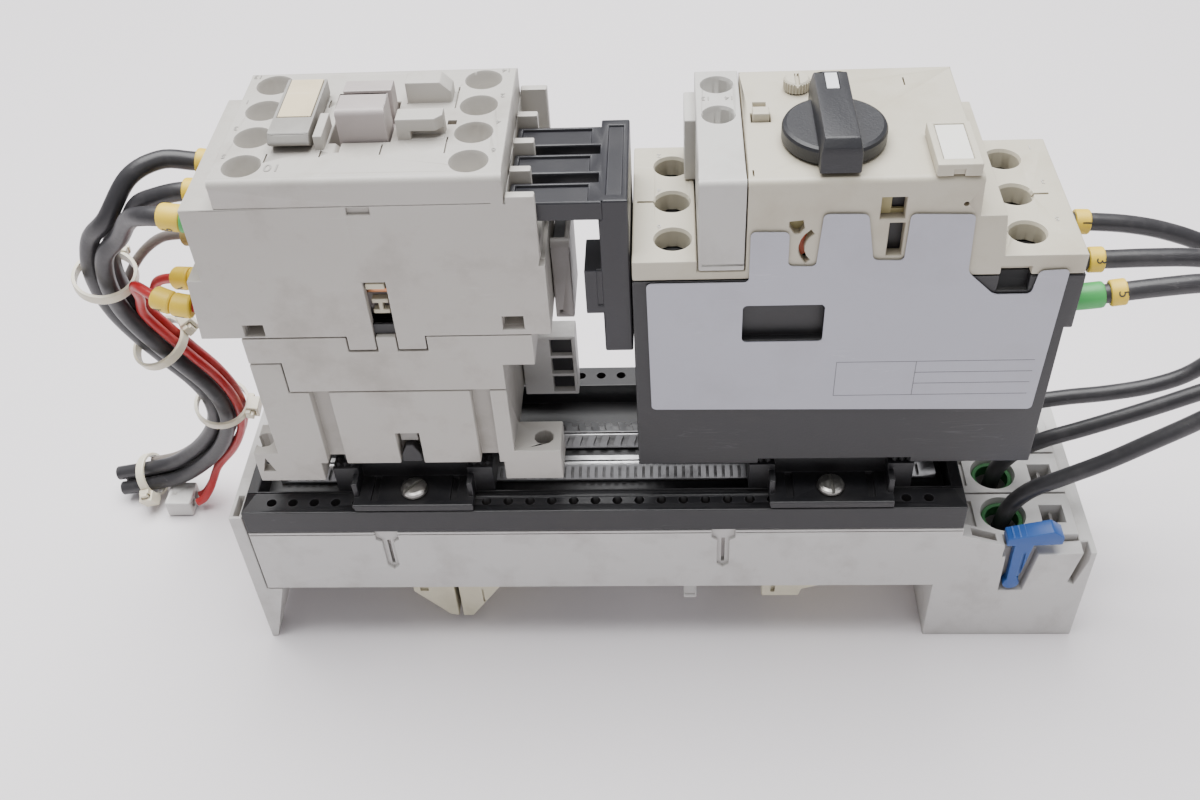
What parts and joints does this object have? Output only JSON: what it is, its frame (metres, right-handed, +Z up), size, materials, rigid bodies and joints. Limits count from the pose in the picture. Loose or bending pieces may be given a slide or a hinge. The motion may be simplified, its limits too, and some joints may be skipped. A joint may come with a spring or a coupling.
{
  "type": "motor starter",
  "caption": "Motor starter: a contactor and a rotary motor-protection breaker joined by a link module on a busbar adapter, with its wires.",
  "frame": {"origin": "bottom centre of the box of the adapter and its two devices, on the face it stands on", "axes": "+X along the adapter towards the outgoing terminals, +Y to its rear edge, +Z up through the devices' front covers"},
  "size_m": [0.3263, 0.0633, 0.158],
  "materials": {
    "warm_grey": "satin moulded plastic",
    "pale_grey": "satin moulded plastic",
    "pink_grey": "satin moulded plastic",
    "cream": "satin moulded plastic",
    "beige": "satin moulded plastic",
    "charcoal": "dull black moulded plastic",
    "silver_label": "printed foil label, left blank",
    "blue": "satin moulded plastic",
    "aluminium": "milled",
    "zinc": "bright zinc plate",
    "steel": "plain steel",
    "copper": "bare copper, between brass and copper in colour",
    "black_wire": "soft insulation",
    "red_wire": "soft insulation",
    "grey_wire": "soft insulation",
    "nylon": "translucent natural nylon"
  },
  "bodies": {
    "adapter": {"adapter_trunk": "pale_grey", "end_plate": "pale_grey", "outgoing_terminal_1": "pale_grey", "outgoing_terminal_2": "pale_grey", "outgoing_terminal_3": "pale_grey", "centre_fin": "pale_grey", "coil_terminal_plug": "pale_grey", "auxiliary_connector": "pale_grey", "auxiliary_block": "pale_grey", "breaker_tag": "pale_grey", "wire_end_connector": "pale_grey", "adapter_cover": "charcoal", "rail_carrier_left": "charcoal", "rail_carrier_right": "charcoal", "coil": "charcoal", "breaker_base": "charcoal", "link_module": "charcoal", "toothed_track_front": "aluminium", "toothed_track_rear": "aluminium", "carrier_screw_left": "zinc", "carrier_screw_right": "zinc", "busbar_hook": "cream", "contact_foot": "cream", "contactor_tag": "cream", "contactor_base": "warm_grey", "magnet_frame": "warm_grey", "contact_housing": "warm_grey", "front_cover": "warm_grey", "magnet_core": "steel", "return_spring": "steel", "trip_coil_1": "copper", "trip_coil_2": "copper", "trip_coil_3": "copper", "breaker_cover": "beige", "rating_label": "silver_label", "line_wire_1": "black_wire", "line_wire_3": "black_wire", "line_wire_5": "black_wire", "load_wire_2": "black_wire", "load_wire_4": "black_wire", "load_wire_6": "black_wire", "coil_wire_a": "red_wire", "coil_wire_b": "red_wire", "coil_wire_c": "grey_wire", "cable_tie_1": "nylon", "cable_tie_2": "nylon", "cable_tie_3": "nylon", "cable_tie_4": "nylon"},
    "contact_carrier": {"contact_carrier": "pink_grey", "armature": "steel", "moving_bridge_1": "copper", "moving_bridge_2": "copper", "moving_bridge_3": "copper", "moving_bridge_4": "copper"},
    "knob": {"knob": "charcoal"},
    "switch_slide": {"switch_slide": "charcoal"},
    "test_button": {"test_button": "beige"},
    "current_dial": {"current_dial": "beige"},
    "release_lever": {"release_lever": "blue"},
    "busbar_latch": {"busbar_latch": "cream"}
  },
  "joints": [
    {"name": "carrier_press", "type": "slide", "parent": "adapter", "child": "contact_carrier", "axis": [0, 0, -1], "range_m": [0, 0.005], "stiffness_N_per_m": 700, "springref_m": -0.004, "deforming": ["return_spring"]},
    {"name": "knob_turn", "type": "hinge", "parent": "adapter", "child": "knob", "pos_m": [0.0376, -0.0075, 0.148], "axis": [0, 0, -1], "range_deg": [0, 90]},
    {"name": "switch_travel", "type": "slide", "parent": "adapter", "child": "switch_slide", "axis": [1, 0, 0], "range_m": [0, 0.004]},
    {"name": "test_press", "type": "slide", "parent": "adapter", "child": "test_button", "axis": [0, 0, -1], "range_m": [0, 0.0015], "stiffness_N_per_m": 300, "springref_m": -0.002},
    {"name": "dial_turn", "type": "hinge", "parent": "adapter", "child": "current_dial", "pos_m": [0.0315, 0.0135, 0.148], "axis": [0, 0, 1], "range_deg": [0, 270]},
    {"name": "latch_slide", "type": "slide", "parent": "adapter", "child": "busbar_latch", "axis": [1, 0, 0], "range_m": [0, 0.0025], "stiffness_N_per_m": 800, "springref_m": -0.002},
    {"name": "lever_pull", "type": "hinge", "parent": "adapter", "child": "release_lever", "pos_m": [0.092, -0.0258, 0.0225], "axis": [0, 1, 0], "range_deg": [0, 6.1]}
  ],
  "couplings": [
    {"joint": "knob_turn", "follows": "switch_travel", "rad_per_m": 392.69},
    {"joint": "lever_pull", "follows": "latch_slide", "rad_per_m": 41.88}
  ]
}
